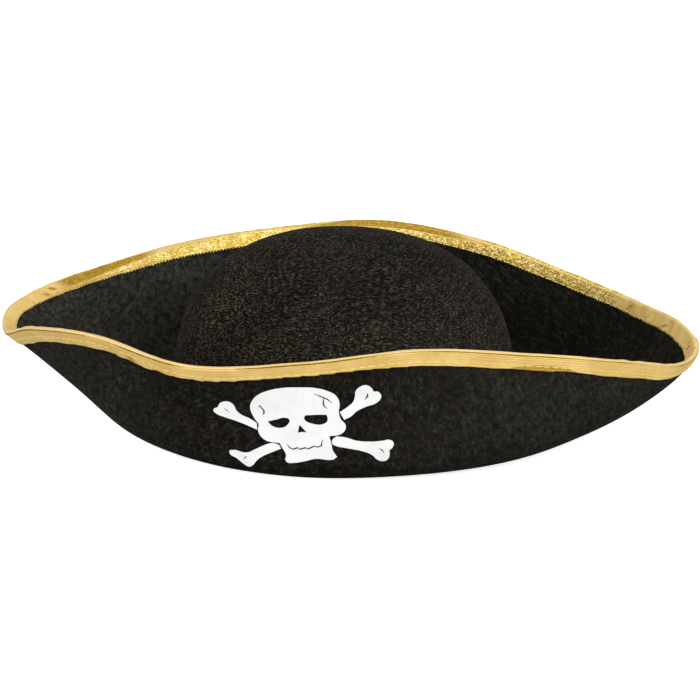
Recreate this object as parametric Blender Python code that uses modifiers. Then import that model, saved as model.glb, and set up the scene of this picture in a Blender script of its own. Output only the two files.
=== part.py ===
"""Pirate hat: a felt crown on a felt brim that turns up at the front and the back.

A folded metallic ribbon is sewn over the brim's rim, a white film emblem of a skull and four bone
ends lies on the front, and a sweatband with a blank label covers the seam inside the head opening.

+X runs to the wearer's left-hand point of the brim, -Y is the front and +Z is up. The origin is the
centre of the head opening, on the surface that the hat stands on. An angle round the hat is 0 at +X
and grows anticlockwise as seen from above.
"""
import math

import bmesh
import bpy
from mathutils import Vector
from mathutils.bvhtree import BVHTree

MM = 0.001

# Felt, and the gap that stands between two pieces that touch
FELT = 1.6 * MM
GAP = 0.3 * MM

# Crown: an oval dome, outside sizes
CROWN_HALF_WIDTH = 92 * MM
CROWN_HALF_DEPTH = 99 * MM
CROWN_HEIGHT = 97.5 * MM
CROWN_FULLNESS = 2.7
CROWN_LEAN = 2.5 * MM
CROWN_BASE = FELT + 0.5 * MM

# Brim: flat ring under the crown's edge, wall that turns up, rim
BRIM_HALF_SPAN = 185.5 * MM
BRIM_HALF_DEPTH = 123 * MM
POINT_SHARPNESS = 1.13
RING_WIDTH = 6 * MM
COLLAR_HEIGHT = 9 * MM
COLLAR_BEND = 1.5 * MM
COLLAR_GAP = 0.5 * MM
BEND_TURNS = [math.radians(turn) for turn in (0, 30, 60, 90)]
FLOOR_SNAP = 0.1 * MM
# The rim's height every 18 degrees, from the +X point and round by the back
RIM_HEIGHTS = [z * MM for z in (44.5, 48.5, 51, 58.5, 70.5, 77.5, 73, 67, 58.5, 53,
                                49, 46, 58.5, 64, 56.5, 62.5, 70, 65, 55.5, 45)]

# The wall's section is a Bezier curve from the ring to the rim. Each line gives a value at the
# front and back, at the +X and -X points, and what is added halfway to the +X and -X points.
RIM_SLOPE = [math.radians(slope) for slope in (76.5, 65, 34, 4, -7.5)]
LOW_HANDLE = [length * MM for length in (12.5, 19.5, 24, 30, 25)]
HIGH_HANDLE = [length * MM for length in (46, 25.5, 36.5, 5.5, 0)]
# Below 1 the points' values reach further round towards the front and back
POINT_REACH = 0.8

# Ribbon over the rim, and its stitches
RIBBON = 0.5 * MM
RIBBON_GAP = 0.5 * MM
RIBBON_OUTER = 6.4 * MM
RIBBON_INNER = 8.5 * MM
RIBBON_TURNS = [math.radians(turn) for turn in (0, 60, 120, 180)]
RIBBON_JOIN = math.radians(5)
RIBBON_SLIT = 0.4 * MM
THREAD_RADIUS = 0.25 * MM
OUTER_STITCH_DEPTH = 4.4 * MM
INNER_STITCH_DEPTH = 6.5 * MM
TACK_DEPTHS = [depth * MM for depth in (5, 4, 3, 2)]

# Sweatband and label inside the head opening
BAND = 1.0 * MM
BAND_BOTTOM = 1.5 * MM
BAND_TOP = 29 * MM
BAND_STITCH_HEIGHT = 5 * MM
SEAM_STITCH_HEIGHT = 5 * MM
LABEL = 0.4 * MM
LABEL_WIDTH = 20 * MM
LABEL_BOTTOM = 8 * MM
LABEL_TOP = 27 * MM
LABEL_ANGLE = math.radians(105)
LABEL_STITCH_SHARE = 0.8
STITCH_MARGIN = 2 * MM

# Emblem: thin film on the front of the brim
FILM = 0.5 * MM
FILM_GAP = 0.5 * MM
EMBLEM_X = -2 * MM
EMBLEM_Z = 30 * MM
EMBLEM_GRID = 5 * MM
EMBLEM_REACH = 45 * MM
SMALLEST_EDGE = 0.3 * MM

# How finely the pieces are divided
ROUND_STEPS = 72
CROWN_ROWS = 9
WALL_ROWS = 9
LABEL_STEPS = 4
DEPTH_STEPS = 80
# Small steps for directions on the wall: round it in radians, and up it as a share of its section
ROUND_NUDGE = 0.001
UP_NUDGE = 0.001
RIM_NUDGE = 0.02

# Outlines of the emblem's pieces, in millimetres from the emblem's centre, as seen from the front.
# They are smooth curves, apart from the points marked as corners.
CORNER = "VECTOR"
SKULL = [(-24.5, 8), (-23, 12), (-19.5, 15.5), (-14.5, 18), (-7.5, 20), (1, 21), (9, 21), (15, 19.5),
         (19, 17), (20.5, 13), (20, 8.5), (21, 4.5), (23, 2), (23, -0.5), (21, -3),
         (15, -4.5, CORNER), (16, -9), (16.5, -12), (18.5, -15.5, CORNER), (16.5, -17), (8, -17),
         (3, -18.5), (-3, -20), (-6.5, -20), (-7.5, -18.5, CORNER), (-7, -16), (-9, -12),
         (-10, -10, CORNER), (-16.5, -9.5), (-19.5, -7.5), (-21, -4), (-20.5, -1), (-22.5, 2)]
LEFT_EYE = [(-16, 1, CORNER), (-11.5, 2.5), (-6, 4), (-4.5, 3), (-5.5, 0.5), (-8, -1.5), (-13, -1.5)]
RIGHT_EYE = [(3.5, 6), (6, 6.5), (14, 7, CORNER), (14.5, 4.5), (13.5, 2.5), (6, 2), (3, 4)]
NOSE = [(0.5, 0.5, CORNER), (3.5, -3.5, CORNER), (1.5, -3, CORNER), (-0.5, -4.5, CORNER)]
BONES = {
    "emblem_bone_upper_left": [(-44, 4), (-41.5, 6, CORNER), (-40.5, 8), (-38, 9.5), (-35, 9.5), (-33, 8),
                               (-32, 5.5), (-29, 3), (-25, 1.5), (-21.5, -0.5, CORNER),
                               (-21.5, -4, CORNER), (-25.5, -2.5), (-32, -0.5), (-38.5, 1), (-42, 2)],
    "emblem_bone_upper_right": [(20.5, 8.5, CORNER), (24.5, 11.5), (27, 14), (28, 17), (28.5, 20),
                                (30.5, 22), (33.5, 23), (36, 21.5), (37, 19.5, CORNER), (39, 19.5),
                                (40.5, 17.5), (40, 15.5), (38, 13.5), (33, 11.5), (28.5, 9),
                                (26, 6.5), (22.5, 4.5, CORNER)],
    "emblem_bone_lower_left": [(-36.5, -17.5), (-35, -16.5), (-27.5, -17), (-22.5, -14.5), (-18, -12),
                               (-14, -10.5), (-10.5, -11, CORNER), (-9.5, -13, CORNER), (-13.5, -15),
                               (-20.5, -19), (-22.5, -21), (-24.5, -23.5), (-26.5, -24.5),
                               (-29.5, -23), (-32, -21)],
    "emblem_bone_lower_right": [(16.5, -6.5), (18.5, -4.5, CORNER), (23, -5), (28, -6.5), (33, -7),
                                (41, -6.5), (44, -6), (46, -7.5), (45.5, -10), (44, -11.5, CORNER),
                                (44, -14), (43, -16.5), (40.5, -17.5), (38, -16.5), (35.5, -14),
                                (32.5, -12.5), (23, -10.5), (18, -9.5), (16.5, -8.5)],
}


# ---- The hat's surfaces -----------------------------------------------------------------------

def crown_base_point(angle, inset):
    """Point on the crown's base oval, moved inwards by inset."""
    x = CROWN_HALF_WIDTH * math.cos(angle)
    y = CROWN_HALF_DEPTH * math.sin(angle)
    outward = Vector((math.cos(angle) / CROWN_HALF_WIDTH, math.sin(angle) / CROWN_HALF_DEPTH, 0))
    outward.normalize()
    return Vector((x, y, 0)) - outward * inset


def rim_height(angle):
    """Height of the rim: a smooth curve through RIM_HEIGHTS, the same after a full turn."""
    count = len(RIM_HEIGHTS)
    place = angle / math.tau * count
    first = math.floor(place)
    t = place - first
    a, b, c, d = (RIM_HEIGHTS[(first + step) % count] for step in (-1, 0, 1, 2))
    bend = t * t * (2 * a - 5 * b + 4 * c - d) + t ** 3 * (3 * b - a - 3 * c + d)
    return b + t * (c - a) / 2 + bend / 2


def rim_point(angle):
    """Point on the brim's rim."""
    x = BRIM_HALF_SPAN * math.cos(angle)
    y = BRIM_HALF_DEPTH * math.copysign(abs(math.sin(angle)) ** POINT_SHARPNESS, math.sin(angle))
    return Vector((x, y, rim_height(angle)))


def blend_round(values, angle):
    """Value at an angle, between the front or back and the nearer point, with what is added."""
    side, plus_point, minus_point, plus_extra, minus_extra = values
    point, extra = (plus_point, plus_extra) if math.cos(angle) > 0 else (minus_point, minus_extra)
    weight = abs(math.cos(angle)) ** POINT_REACH
    return side * (1 - weight) + point * weight + extra * math.sin(2 * angle) ** 2


def wall_handles(angle):
    """The four Bezier handles of the wall's section at an angle, from the ring to the rim."""
    base = crown_base_point(angle, 0)
    rim = rim_point(angle)
    outward = Vector((rim.x - base.x, rim.y - base.y, 0)).normalized()
    ring_edge = base + outward * RING_WIDTH + Vector((0, 0, FELT / 2))
    slope = blend_round(RIM_SLOPE, angle)
    rising = outward * math.cos(slope) + Vector((0, 0, math.sin(slope)))
    low = ring_edge + outward * blend_round(LOW_HANDLE, angle)
    high = rim - rising * blend_round(HIGH_HANDLE, angle)
    return ring_edge, low, high, rim


def wall_point(angle, t):
    """Point in the middle of the wall's felt, t from 0 at the ring to 1 at the rim."""
    a, b, c, d = wall_handles(angle)
    return (1 - t) ** 3 * a + 3 * (1 - t) ** 2 * t * b + 3 * (1 - t) * t * t * c + t ** 3 * d


def wall_normal(angle, t):
    """Direction square to the wall, pointing to its outer face."""
    round_it = wall_point(angle + ROUND_NUDGE, t) - wall_point(angle - ROUND_NUDGE, t)
    up_it = wall_point(angle, t) - wall_point(angle, t - UP_NUDGE)
    return round_it.cross(up_it).normalized()


def depth_below_rim(angle, depth):
    """The wall's t at a distance from the rim, measured along the section."""
    t = 1
    length = 0
    while length < depth:
        length += (wall_point(angle, t) - wall_point(angle, t - 1 / DEPTH_STEPS)).length
        t -= 1 / DEPTH_STEPS
    return t


def brim_section(angle):
    """Points in the middle of the felt, from the collar inside the crown to the rim."""
    inset = FELT + COLLAR_GAP + FELT / 2
    points = [crown_base_point(angle, inset) + Vector((0, 0, COLLAR_HEIGHT))]
    for turn in BEND_TURNS:
        inner = crown_base_point(angle, inset - COLLAR_BEND * (1 - math.cos(turn)))
        points.append(inner + Vector((0, 0, FELT / 2 + COLLAR_BEND * (1 - math.sin(turn)))))
    points += [wall_point(angle, i / WALL_ROWS) for i in range(WALL_ROWS + 1)]
    return points


# ---- Helpers ----------------------------------------------------------------------------------

def clear_scene():
    for old in list(bpy.data.objects):
        bpy.data.objects.remove(old, do_unlink=True)


def make_material(name, colour, roughness, metallic=0.0):
    material = bpy.data.materials.new(name)
    material.use_nodes = True
    shader = material.node_tree.nodes["Principled BSDF"]
    shader.inputs["Base Color"].default_value = (*colour, 1)
    shader.inputs["Roughness"].default_value = roughness
    shader.inputs["Metallic"].default_value = metallic
    material.diffuse_color = (*colour, 1)
    return material


def add_piece(name, data, material):
    """Put a mesh or a curve in the hat's collection as a named piece."""
    piece = bpy.data.objects.new(name, data)
    data.materials.append(material)
    bpy.data.collections["pirate_hat"].objects.link(piece)
    return piece


def loft(name, sections, closed):
    """Mesh through a list of sections that have the same number of points."""
    mesh = bpy.data.meshes.new(name)
    shape = bmesh.new()
    rows = [[shape.verts.new(point) for point in section] for section in sections]
    count = len(rows)
    for i in range(count if closed else count - 1):
        here, after = rows[i], rows[(i + 1) % count]
        for j in range(len(here) - 1):
            shape.faces.new((here[j], after[j], after[j + 1], here[j + 1]))
    shape.to_mesh(mesh)
    shape.free()
    mesh.shade_smooth()
    return mesh


def thicken(piece, thickness, offset=0.0, even=True):
    solid = piece.modifiers.new("thickness", "SOLIDIFY")
    solid.thickness = thickness
    solid.offset = offset
    solid.use_even_offset = even
    solid.use_rim = True


def bake(piece):
    """Replace a piece's data with the mesh that its modifiers or its curve make."""
    depsgraph = bpy.context.evaluated_depsgraph_get()
    mesh = bpy.data.meshes.new_from_object(piece.evaluated_get(depsgraph))
    piece.modifiers.clear()
    piece.data = mesh


def as_mesh(outline):
    """Turn a curve object into a mesh object of the same name."""
    name = outline.name
    depsgraph = bpy.context.evaluated_depsgraph_get()
    mesh = bpy.data.meshes.new_from_object(outline.evaluated_get(depsgraph))
    bpy.data.objects.remove(outline)
    piece = bpy.data.objects.new(name, mesh)
    bpy.data.collections["pirate_hat"].objects.link(piece)
    return piece


def thread_ring(name, points, material, closed=True):
    """A line of stitches, as one thin tube through the points."""
    curve = bpy.data.curves.new(name, "CURVE")
    curve.dimensions = "3D"
    curve.bevel_depth = THREAD_RADIUS
    curve.bevel_resolution = 0
    curve.use_fill_caps = not closed
    spline = curve.splines.new("POLY")
    spline.points.add(len(points) - 1)
    for vertex, point in zip(spline.points, points):
        vertex.co = (*point, 1)
    spline.use_cyclic_u = closed
    return add_piece(name, curve, material)


def angles_round():
    return [math.tau * i / ROUND_STEPS for i in range(ROUND_STEPS)]


# ---- Felt -------------------------------------------------------------------------------------

def make_crown(material):
    """Turned dome, made oval and leant a little, with its open edge on the brim's ring."""
    profile = bpy.data.meshes.new("crown")
    shape = bmesh.new()
    base_turn = math.asin((CROWN_BASE / CROWN_HEIGHT) ** (CROWN_FULLNESS / 2))
    points = []
    for i in range(CROWN_ROWS + 1):
        turn = math.pi / 2 + (base_turn - math.pi / 2) * i / CROWN_ROWS
        radius = CROWN_HALF_WIDTH * max(math.cos(turn), 0) ** (2 / CROWN_FULLNESS)
        height = CROWN_HEIGHT * math.sin(turn) ** (2 / CROWN_FULLNESS)
        points.append(shape.verts.new((0 if i == 0 else radius, 0, height)))
    for upper, lower in zip(points, points[1:]):
        shape.edges.new((upper, lower))
    shape.to_mesh(profile)
    shape.free()
    crown = add_piece("crown", profile, material)
    turned = crown.modifiers.new("turned", "SCREW")
    turned.steps = ROUND_STEPS
    turned.render_steps = ROUND_STEPS
    turned.use_merge_vertices = True
    turned.merge_threshold = FLOOR_SNAP
    turned.use_smooth_shade = True
    bake(crown)
    for vertex in crown.data.vertices:
        vertex.co.y *= CROWN_HALF_DEPTH / CROWN_HALF_WIDTH
        vertex.co.x -= CROWN_LEAN * (vertex.co.z / CROWN_HEIGHT) ** 2
    thicken(crown, FELT, offset=-1)
    return crown


def make_brim(material):
    """Collar, flat ring and turned-up wall, with the ring's underside flat on z = 0."""
    sections = [brim_section(angle) for angle in angles_round()]
    brim = add_piece("brim", loft("brim", sections, closed=True), material)
    thicken(brim, FELT)
    bake(brim)
    for vertex in brim.data.vertices:
        if abs(vertex.co.z) < FLOOR_SNAP:
            vertex.co.z = 0
    return brim


# ---- Ribbon and its stitches ------------------------------------------------------------------

def ribbon_section(angle):
    """Across the ribbon: down the outer face, over the rim and down the inner face."""
    away = FELT / 2 + RIBBON_GAP + RIBBON / 2
    rim = wall_point(angle, 1)
    normal = wall_normal(angle, 1)
    rising = (rim - wall_point(angle, 1 - RIM_NUDGE)).normalized()
    outer_t = depth_below_rim(angle, RIBBON_OUTER)
    inner_t = depth_below_rim(angle, RIBBON_INNER)
    points = [wall_point(angle, outer_t) + wall_normal(angle, outer_t) * away]
    for turn in RIBBON_TURNS:
        points.append(rim + (normal * math.cos(turn) + rising * math.sin(turn)) * away)
    points.append(wall_point(angle, inner_t) - wall_normal(angle, inner_t) * away)
    return points


def make_ribbon(material):
    """Ribbon once round the rim, from one side of its join to the other."""
    one_degree = (rim_point(RIBBON_JOIN + math.radians(1)) - rim_point(RIBBON_JOIN)).length
    half_slit = math.radians(RIBBON_SLIT / 2 / one_degree)
    turns = angles_round()
    turns[0] = half_slit
    turns.append(math.tau - half_slit)
    sections = [ribbon_section(RIBBON_JOIN + turn) for turn in turns]
    ribbon = add_piece("trim_ribbon", loft("trim_ribbon", sections, closed=False), material)
    thicken(ribbon, RIBBON)
    return ribbon


def trim_stitch_point(angle, side, depth):
    """Point on the ribbon's outer face for side 1, or its inner face for side -1."""
    t = depth_below_rim(angle, depth)
    away = FELT / 2 + RIBBON_GAP + RIBBON + GAP + THREAD_RADIUS
    return wall_point(angle, t) + wall_normal(angle, t) * away * side


def make_trim_threads(material):
    lines = [("trim_thread_outer", 1, OUTER_STITCH_DEPTH), ("trim_thread_inner", -1, INNER_STITCH_DEPTH)]
    for name, side, depth in lines:
        points = [trim_stitch_point(angle, side, depth) for angle in angles_round()]
        thread_ring(name, points, material)


def make_trim_join_thread(material):
    """Short tack up the ribbon's inner face, where its two ends meet."""
    points = [trim_stitch_point(RIBBON_JOIN, -1, depth) for depth in TACK_DEPTHS]
    thread_ring("trim_join_thread", points, material, closed=False)


# ---- Head opening -----------------------------------------------------------------------------

def band_inset():
    """How far the middle of the sweatband stands inside the crown's outer oval."""
    return 2 * FELT + COLLAR_GAP + GAP + BAND / 2


def make_sweatband(material):
    """Upright band round the head opening, open at its join at the back."""
    half_slit = RIBBON_SLIT / 2 / CROWN_HALF_WIDTH
    turns = angles_round()
    turns[0] = half_slit
    turns.append(math.tau - half_slit)
    sections = []
    for turn in turns:
        foot = crown_base_point(math.pi / 2 + turn, band_inset())
        sections.append([foot + Vector((0, 0, BAND_TOP)), foot + Vector((0, 0, BAND_BOTTOM))])
    band = add_piece("sweatband", loft("sweatband", sections, closed=False), material)
    thicken(band, BAND)
    return band


def make_head_threads(material):
    """Stitches outside the crown's base, on the sweatband, up its join and across the label."""
    face = band_inset() + BAND / 2 + GAP
    outside = [crown_base_point(angle, -GAP - THREAD_RADIUS) + Vector((0, 0, SEAM_STITCH_HEIGHT))
               for angle in angles_round()]
    thread_ring("crown_seam_thread", outside, material)
    inside = [crown_base_point(angle, face + THREAD_RADIUS) + Vector((0, 0, BAND_STITCH_HEIGHT))
              for angle in angles_round()]
    thread_ring("sweatband_thread", inside, material)
    join = crown_base_point(math.pi / 2, face + THREAD_RADIUS)
    ends = [join + Vector((0, 0, z)) for z in (BAND_STITCH_HEIGHT + STITCH_MARGIN, BAND_TOP - STITCH_MARGIN)]
    thread_ring("sweatband_join_thread", ends, material, closed=False)
    label_face = face + LABEL + GAP + THREAD_RADIUS
    spread = LABEL_STITCH_SHARE * LABEL_WIDTH / 2 / CROWN_HALF_DEPTH
    across = [crown_base_point(LABEL_ANGLE + spread * step, label_face)
              + Vector((0, 0, LABEL_BOTTOM + STITCH_MARGIN)) for step in (-1, 0, 1)]
    thread_ring("care_label_thread", across, material, closed=False)


def make_label(material):
    """Blank label that stands against the sweatband, beside its join."""
    half = LABEL_WIDTH / 2 / CROWN_HALF_DEPTH
    sections = []
    for i in range(LABEL_STEPS + 1):
        angle = LABEL_ANGLE + half * (2 * i / LABEL_STEPS - 1)
        foot = crown_base_point(angle, band_inset() + BAND / 2 + GAP + LABEL / 2)
        sections.append([foot + Vector((0, 0, LABEL_TOP)), foot + Vector((0, 0, LABEL_BOTTOM))])
    label = add_piece("care_label", loft("care_label", sections, closed=False), material)
    thicken(label, LABEL)
    return label


# ---- Emblem -----------------------------------------------------------------------------------

def flat_outline(name, outlines, material):
    """Filled flat shape in the XZ plane, as a mesh, with a smooth curve through each outline."""
    curve = bpy.data.curves.new(name, "CURVE")
    curve.dimensions = "2D"
    curve.fill_mode = "BOTH"
    curve.resolution_u = 2
    for outline in outlines:
        spline = curve.splines.new("BEZIER")
        spline.bezier_points.add(len(outline) - 1)
        for handle, (x, z, *corner) in zip(spline.bezier_points, outline):
            handle.co = (x * MM, z * MM, 0)
            handle.handle_left_type = corner[0] if corner else "AUTO"
            handle.handle_right_type = handle.handle_left_type
        spline.use_cyclic_u = True
    return as_mesh(add_piece(name, curve, material))


def lay_on_brim(piece, brim_tree):
    """Cut a flat shape along a grid and lay it on the brim's front, a gap away from the felt."""
    shape = bmesh.new()
    shape.from_mesh(piece.data)
    reach = round(EMBLEM_REACH / EMBLEM_GRID)
    for axis in (0, 1):
        normal = [0, 0, 0]
        normal[axis] = 1
        for step in range(-reach, reach + 1):
            place = [0, 0, 0]
            place[axis] = step * EMBLEM_GRID
            geometry = shape.verts[:] + shape.edges[:] + shape.faces[:]
            bmesh.ops.bisect_plane(shape, geom=geometry, plane_co=place, plane_no=normal)
    bmesh.ops.remove_doubles(shape, verts=shape.verts, dist=SMALLEST_EDGE)
    bmesh.ops.triangulate(shape, faces=shape.faces[:])
    for vertex in shape.verts:
        start = Vector((EMBLEM_X + vertex.co.x, -2 * BRIM_HALF_DEPTH, EMBLEM_Z + vertex.co.y))
        hit, normal, _, _ = brim_tree.ray_cast(start, Vector((0, 1, 0)))
        vertex.co = hit + normal * (FILM_GAP + FILM / 2)
    shape.to_mesh(piece.data)
    shape.free()
    thicken(piece, FILM, even=False)


def make_emblem(material, brim):
    depsgraph = bpy.context.evaluated_depsgraph_get()
    brim_tree = BVHTree.FromObject(brim, depsgraph)
    skull = flat_outline("emblem_skull", [SKULL, LEFT_EYE, RIGHT_EYE, NOSE], material)
    lay_on_brim(skull, brim_tree)
    for name, outline in BONES.items():
        lay_on_brim(flat_outline(name, [outline], material), brim_tree)


# ---- The hat ----------------------------------------------------------------------------------

def main():
    clear_scene()
    hat = bpy.data.collections.new("pirate_hat")
    bpy.context.scene.collection.children.link(hat)
    crown_felt = make_material("crown_felt", (0.012, 0.012, 0.012), 0.95)
    brim_felt = make_material("brim_felt", (0.014, 0.014, 0.016), 0.95)
    gold_ribbon = make_material("gold_ribbon", (0.72, 0.5, 0.2), 0.35, metallic=0.8)
    gold_thread = make_material("gold_thread", (0.85, 0.62, 0.2), 0.5)
    black_thread = make_material("black_thread", (0.01, 0.01, 0.01), 0.8)
    band_fabric = make_material("band_fabric", (0.015, 0.015, 0.015), 0.7)
    label_satin = make_material("label_satin", (0.85, 0.85, 0.83), 0.4)
    white_film = make_material("white_film", (0.9, 0.9, 0.9), 0.45)
    make_crown(crown_felt)
    brim = make_brim(brim_felt)
    make_ribbon(gold_ribbon)
    make_trim_threads(gold_thread)
    make_trim_join_thread(black_thread)
    make_sweatband(band_fabric)
    make_head_threads(black_thread)
    make_label(label_satin)
    make_emblem(white_film, brim)


main()
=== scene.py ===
"""Pirate hat, its looks: fibrous felt crown and brim, folded metallic ribbon, cut film emblem, sweatband.

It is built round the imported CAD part, whose sizes and places it keeps. +X runs to the wearer's
left-hand point of the brim, -Y is the front and +Z is up. An angle round the hat is 0 at +X and grows
anticlockwise as seen from above. Most shapes are grids of points held in numpy arrays, whose first
index runs round the hat and whose second runs across it.
"""

import math

import bmesh
import bpy
import numpy as np
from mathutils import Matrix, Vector
from mathutils.bvhtree import BVHTree
from mathutils.geometry import delaunay_2d_cdt


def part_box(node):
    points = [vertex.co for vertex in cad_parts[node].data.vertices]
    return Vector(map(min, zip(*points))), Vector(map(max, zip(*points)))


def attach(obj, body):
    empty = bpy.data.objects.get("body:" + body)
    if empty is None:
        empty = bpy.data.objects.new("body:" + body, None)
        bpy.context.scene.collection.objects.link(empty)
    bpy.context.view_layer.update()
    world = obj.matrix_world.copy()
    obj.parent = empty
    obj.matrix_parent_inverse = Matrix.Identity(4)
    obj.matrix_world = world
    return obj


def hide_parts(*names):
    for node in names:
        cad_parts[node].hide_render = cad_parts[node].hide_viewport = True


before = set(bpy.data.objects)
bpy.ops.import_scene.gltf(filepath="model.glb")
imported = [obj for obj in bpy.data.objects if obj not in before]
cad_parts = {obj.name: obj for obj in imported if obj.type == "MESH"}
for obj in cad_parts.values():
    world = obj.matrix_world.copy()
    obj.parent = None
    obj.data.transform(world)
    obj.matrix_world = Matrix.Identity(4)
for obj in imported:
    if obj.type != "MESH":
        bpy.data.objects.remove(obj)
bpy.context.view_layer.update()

MM = 0.001
TAU = math.tau

# ---- Sizes, as in the CAD part ----

crown_low, crown_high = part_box("crown")
ribbon_low, ribbon_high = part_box("trim_ribbon")
band_low, band_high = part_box("sweatband")
label_low, label_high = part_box("care_label")

FELT = 1.6 * MM
RIBBON = 0.45 * MM
RIBBON_REACH = 1.75 * MM

CROWN_HALF_WIDTH = crown_high.x
CROWN_HALF_DEPTH = (crown_high.y - crown_low.y) / 2
CROWN_HEIGHT = crown_high.z
CROWN_BASE = crown_low.z
CROWN_FULLNESS = 2.7
CROWN_LEAN = 2.5 * MM

BRIM_HALF_SPAN = (ribbon_high.x - ribbon_low.x) / 2 - RIBBON_REACH
BRIM_HALF_DEPTH = 123 * MM
POINT_SHARPNESS = 1.13
RING_WIDTH = 6 * MM
COLLAR_HEIGHT = 9 * MM
COLLAR_BEND = 1.5 * MM
COLLAR_GAP = 0.5 * MM
# The rim's height every 18 degrees, from the +X point and round by the back
RIM_HEIGHTS = [z * MM for z in (44.5, 48.5, 51, 58.5, 70.5, 77.5, 73, 67, 58.5, 53,
                                49, 46, 58.5, 64, 56.5, 62.5, 70, 65, 55.5, 45)]
# The wall's section is a Bezier curve from the ring to the rim. Each line gives a value at the
# front and back, at the +X and -X points, and what is added halfway to the +X and -X points.
RIM_SLOPE = [math.radians(slope) for slope in (76.5, 65, 34, 4, -7.5)]
LOW_HANDLE = [length * MM for length in (12.5, 19.5, 24, 30, 25)]
HIGH_HANDLE = [length * MM for length in (46, 25.5, 36.5, 5.5, 0)]
POINT_REACH = 0.8

EMBLEM_X = -2 * MM
EMBLEM_Z = 30 * MM
LABEL_ANGLE = math.radians(105)
RIBBON_JOIN = math.radians(5)


# ---- The hat's surfaces ----

def unit(vectors):
    return vectors / np.linalg.norm(vectors, axis=-1, keepdims=True)


def stack(x, y, z):
    return np.stack(np.broadcast_arrays(x, y, z), -1).astype(float)


def base_oval(angle, inset=0.0):
    """Points on the crown's base oval, moved inwards by inset."""
    oval = stack(CROWN_HALF_WIDTH * np.cos(angle), CROWN_HALF_DEPTH * np.sin(angle), 0)
    outward = unit(stack(np.cos(angle) / CROWN_HALF_WIDTH, np.sin(angle) / CROWN_HALF_DEPTH, 0))
    return oval - outward * np.asarray(inset)[..., None]


def rim_height(angle):
    """Height of the rim: a smooth curve through RIM_HEIGHTS, the same after a full turn."""
    heights = np.array(RIM_HEIGHTS)
    place = np.asarray(angle) / TAU * len(heights)
    first = np.floor(place).astype(int)
    t = place - first
    a, b, c, d = (heights[(first + step) % len(heights)] for step in (-1, 0, 1, 2))
    bend = t * t * (2 * a - 5 * b + 4 * c - d) + t ** 3 * (3 * b - a - 3 * c + d)
    return b + t * (c - a) / 2 + bend / 2


def rim_point(angle):
    sine = np.sin(angle)
    y = BRIM_HALF_DEPTH * np.sign(sine) * np.abs(sine) ** POINT_SHARPNESS
    return stack(BRIM_HALF_SPAN * np.cos(angle), y, rim_height(angle))


def blend_round(values, angle):
    """Value at an angle, between the front or back and the nearer point, with what is added."""
    side, plus_point, minus_point, plus_extra, minus_extra = values
    plus = np.cos(angle) > 0
    point = np.where(plus, plus_point, minus_point)
    extra = np.where(plus, plus_extra, minus_extra)
    weight = np.abs(np.cos(angle)) ** POINT_REACH
    return side * (1 - weight) + point * weight + extra * np.sin(2 * angle) ** 2


def outward_from_crown(angle):
    """Level direction from the crown's base to the rim."""
    across = rim_point(angle) - base_oval(angle)
    across[..., 2] = 0
    return unit(across)


def wall_point(angle, t):
    """Points in the middle of the wall's felt, t from 0 at the ring to 1 at the rim."""
    angle, t = np.broadcast_arrays(angle, t)
    rim = rim_point(angle)
    outward = outward_from_crown(angle)
    foot = base_oval(angle) + outward * RING_WIDTH + stack(0, 0, FELT / 2)
    slope = blend_round(RIM_SLOPE, angle)[..., None]
    rising = outward * np.cos(slope) + np.array([0, 0, 1]) * np.sin(slope)
    low = foot + outward * blend_round(LOW_HANDLE, angle)[..., None]
    high = rim - rising * blend_round(HIGH_HANDLE, angle)[..., None]
    t = t[..., None]
    return (1 - t) ** 3 * foot + 3 * (1 - t) ** 2 * t * low + 3 * (1 - t) * t * t * high + t ** 3 * rim


def uneven(points, size, seed, count=20):
    """Smooth random height at each point, about -1 to 1, with bumps of that size in metres."""
    rng = np.random.default_rng(seed)
    ways = unit(rng.normal(size=(count, 3))) * rng.uniform(0.7, 1.4, (count, 1)) / size
    starts = rng.uniform(0, TAU, count)
    waves = np.sin(points @ ways.T * TAU / 2 + starts)
    return waves.sum(-1) / math.sqrt(count)


def window(angle, low, high, soft=1.5):
    """1 between two angles in degrees and 0 outside them, with soft ends."""
    degrees = np.degrees(angle) % 360
    return np.clip((degrees - low) / soft + 0.5, 0, 1) * np.clip((high - degrees) / soft + 0.5, 0, 1)


def ramp(value, start, length):
    """0 up to start, 1 from that length past it, and straight between."""
    return np.clip((value - start) / length, 0, 1)


def bell(value, centre, width):
    return np.exp(-((value - centre) / width) ** 2)


def bumps(points, *kinds):
    """Uneven height in metres: each kind has its height and size in mm, and its seed."""
    return sum(height * MM * uneven(points, size * MM, seed) for height, size, seed in kinds)


def by_degrees(table, angle):
    """Value at an angle from a table of degrees round the hat and values."""
    return np.interp(np.degrees(angle) % 360, *zip(*table))


def turns_round(count):
    return np.arange(count) * TAU / count


def lengths(points):
    """Length along each line of points, up to each of them."""
    step = np.linalg.norm(np.diff(points, axis=-2), axis=-1)
    return np.concatenate([np.zeros_like(step[..., :1]), step.cumsum(-1)], -1)


def along_line(at, run, vectors):
    """Vectors at given lengths along a line, from those at its points."""
    return np.stack([np.interp(at, run, vectors[:, axis]) for axis in range(3)], -1)


def grid_normals(points, closed):
    """Unit normals of a grid of points, from its own neighbours."""
    if closed:
        round_it = np.roll(points, -1, 0) - np.roll(points, 1, 0)
    else:
        round_it = np.gradient(points, axis=0)
    return unit(np.cross(round_it, np.gradient(points, axis=1)))


# ---- Meshes ----

def show(name, data):
    """A new object in the scene for a mesh, curve, light or camera."""
    shown = bpy.data.objects.new(name, data)
    bpy.context.scene.collection.objects.link(shown)
    return shown


def final_mesh(thing):
    """A new mesh with the shape that a curve or a modifier gives an object."""
    return bpy.data.meshes.new_from_object(thing.evaluated_get(bpy.context.evaluated_depsgraph_get()))


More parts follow.
